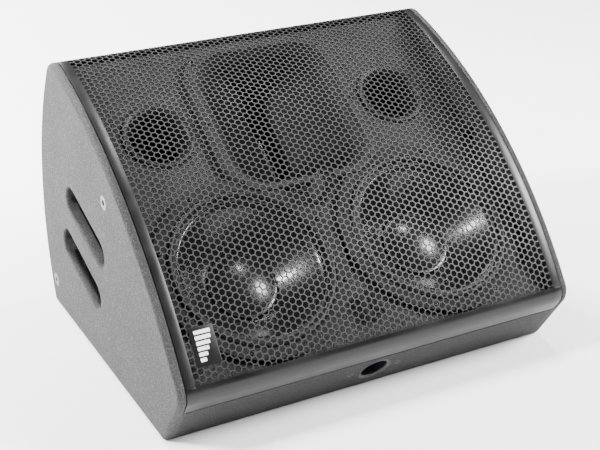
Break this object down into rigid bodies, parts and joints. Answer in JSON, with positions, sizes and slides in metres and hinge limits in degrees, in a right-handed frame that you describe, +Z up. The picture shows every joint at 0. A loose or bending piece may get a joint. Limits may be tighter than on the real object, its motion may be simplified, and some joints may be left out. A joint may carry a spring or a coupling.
{
  "type": "stage monitor wedge loudspeaker",
  "caption": "Wedge-shaped stage monitor loudspeaker with a curved perforated steel front, woofers, a central horn, bass ports, slotted side grips and a pole socket.",
  "frame": {"origin": "on the floor, under the middle of the cabinet's bounding box", "axes": "+X to the wedge's right as seen from the front, +Y towards the rear with the sockets, +Z up; the perforated front faces -Y and up"},
  "size_m": [0.58, 0.4906, 0.3867],
  "materials": {
    "cabinet_paint": "textured polyurethane paint over birch ply",
    "baffle_paint": "textured paint over birch ply",
    "grille_coat": "black powder coat on perforated steel",
    "horn_plastic": "moulded, fine grain",
    "port_plastic": "moulded, fine grain",
    "cup_plastic": "moulded, fine grain",
    "dish_metal": "black coated steel dish",
    "socket_plastic": "moulded connector body",
    "basket_metal": "black coated cast aluminium",
    "gasket_foam": "grey foam gasket ring",
    "surround_rubber": "rubber half roll",
    "cone_paper": "coated paper cone, glossy",
    "coil_copper": "copper winding",
    "spider_cloth": "woven cloth",
    "magnet_ferrite": "ferrite",
    "magnet_steel": "zinc plated steel",
    "diaphragm_titanium": "thin titanium",
    "screw_black": "black oxide steel",
    "screw_bright": "plated steel",
    "badge_plate": null,
    "pad_foam": "closed-cell foam",
    "post_plastic": "moulded",
    "board_laminate": "glass-fibre laminate",
    "coil_wire": "enamelled copper",
    "capacitor_film": "wrapped film",
    "wadding": "polyester fibre",
    "birch_ply": "bare birch ply"
  },
  "bodies": {
    "cabinet": {"side_panel_left": "cabinet_paint", "side_panel_right": "cabinet_paint", "apron_panel": "cabinet_paint", "bottom_panel": "cabinet_paint", "rear_panel": "cabinet_paint", "connector_dish": "dish_metal", "input_socket": "socket_plastic", "link_socket": "socket_plastic", "dish_screws": "screw_black", "baffle_board": "baffle_paint", "grille": "grille_coat", "badge_plate": "badge_plate", "grille_screws": "screw_black", "grille_posts": "post_plastic", "grille_post_pads": "pad_foam", "woofer_left_basket": "basket_metal", "woofer_left_surround": "surround_rubber", "woofer_left_gasket": "gasket_foam", "woofer_left_spider": "spider_cloth", "woofer_left_top_plate": "magnet_steel", "woofer_left_magnet": "magnet_ferrite", "woofer_left_yoke": "magnet_steel", "woofer_left_screws": "screw_black", "woofer_right_basket": "basket_metal", "woofer_right_surround": "surround_rubber", "woofer_right_gasket": "gasket_foam", "woofer_right_spider": "spider_cloth", "woofer_right_top_plate": "magnet_steel", "woofer_right_magnet": "magnet_ferrite", "woofer_right_yoke": "magnet_steel", "woofer_right_screws": "screw_black", "horn": "horn_plastic", "horn_screws": "screw_black", "driver_top_plate": "magnet_steel", "driver_magnet": "magnet_ferrite", "driver_yoke": "magnet_steel", "driver_phase_plug": "horn_plastic", "driver_rear_cap": "cup_plastic", "port_tube_left": "port_plastic", "port_tube_right": "port_plastic", "handle_cup_left": "cup_plastic", "handle_cup_right": "cup_plastic", "handle_screws": "screw_black", "rigging_screws": "screw_bright", "rigging_nuts": "screw_bright", "pole_socket": "screw_black", "pole_screws": "screw_black", "cabinet_brace": "birch_ply", "crossover_board": "board_laminate", "crossover_coils": "coil_wire", "crossover_capacitors": "capacitor_film", "damping_wadding": "wadding"},
    "woofer_left_moving": {"woofer_left_cone": "cone_paper", "woofer_left_dust_cap": "cone_paper", "woofer_left_voice_coil": "coil_copper"},
    "woofer_right_moving": {"woofer_right_cone": "cone_paper", "woofer_right_dust_cap": "cone_paper", "woofer_right_voice_coil": "coil_copper"},
    "driver_moving": {"driver_diaphragm": "diaphragm_titanium"}
  },
  "joints": [
    {"name": "woofer_left_travel", "type": "slide", "parent": "cabinet", "child": "woofer_left_moving", "axis": [0, -0.586, 0.8103], "range_m": [-0.005, 0.005], "stiffness_N_per_m": 3600},
    {"name": "woofer_right_travel", "type": "slide", "parent": "cabinet", "child": "woofer_right_moving", "axis": [0, -0.586, 0.8103], "range_m": [-0.005, 0.005], "stiffness_N_per_m": 3600},
    {"name": "driver_travel", "type": "slide", "parent": "cabinet", "child": "driver_moving", "axis": [0, -0.586, 0.8103], "range_m": [-0.0003, 0.0003], "stiffness_N_per_m": 20000}
  ]
}
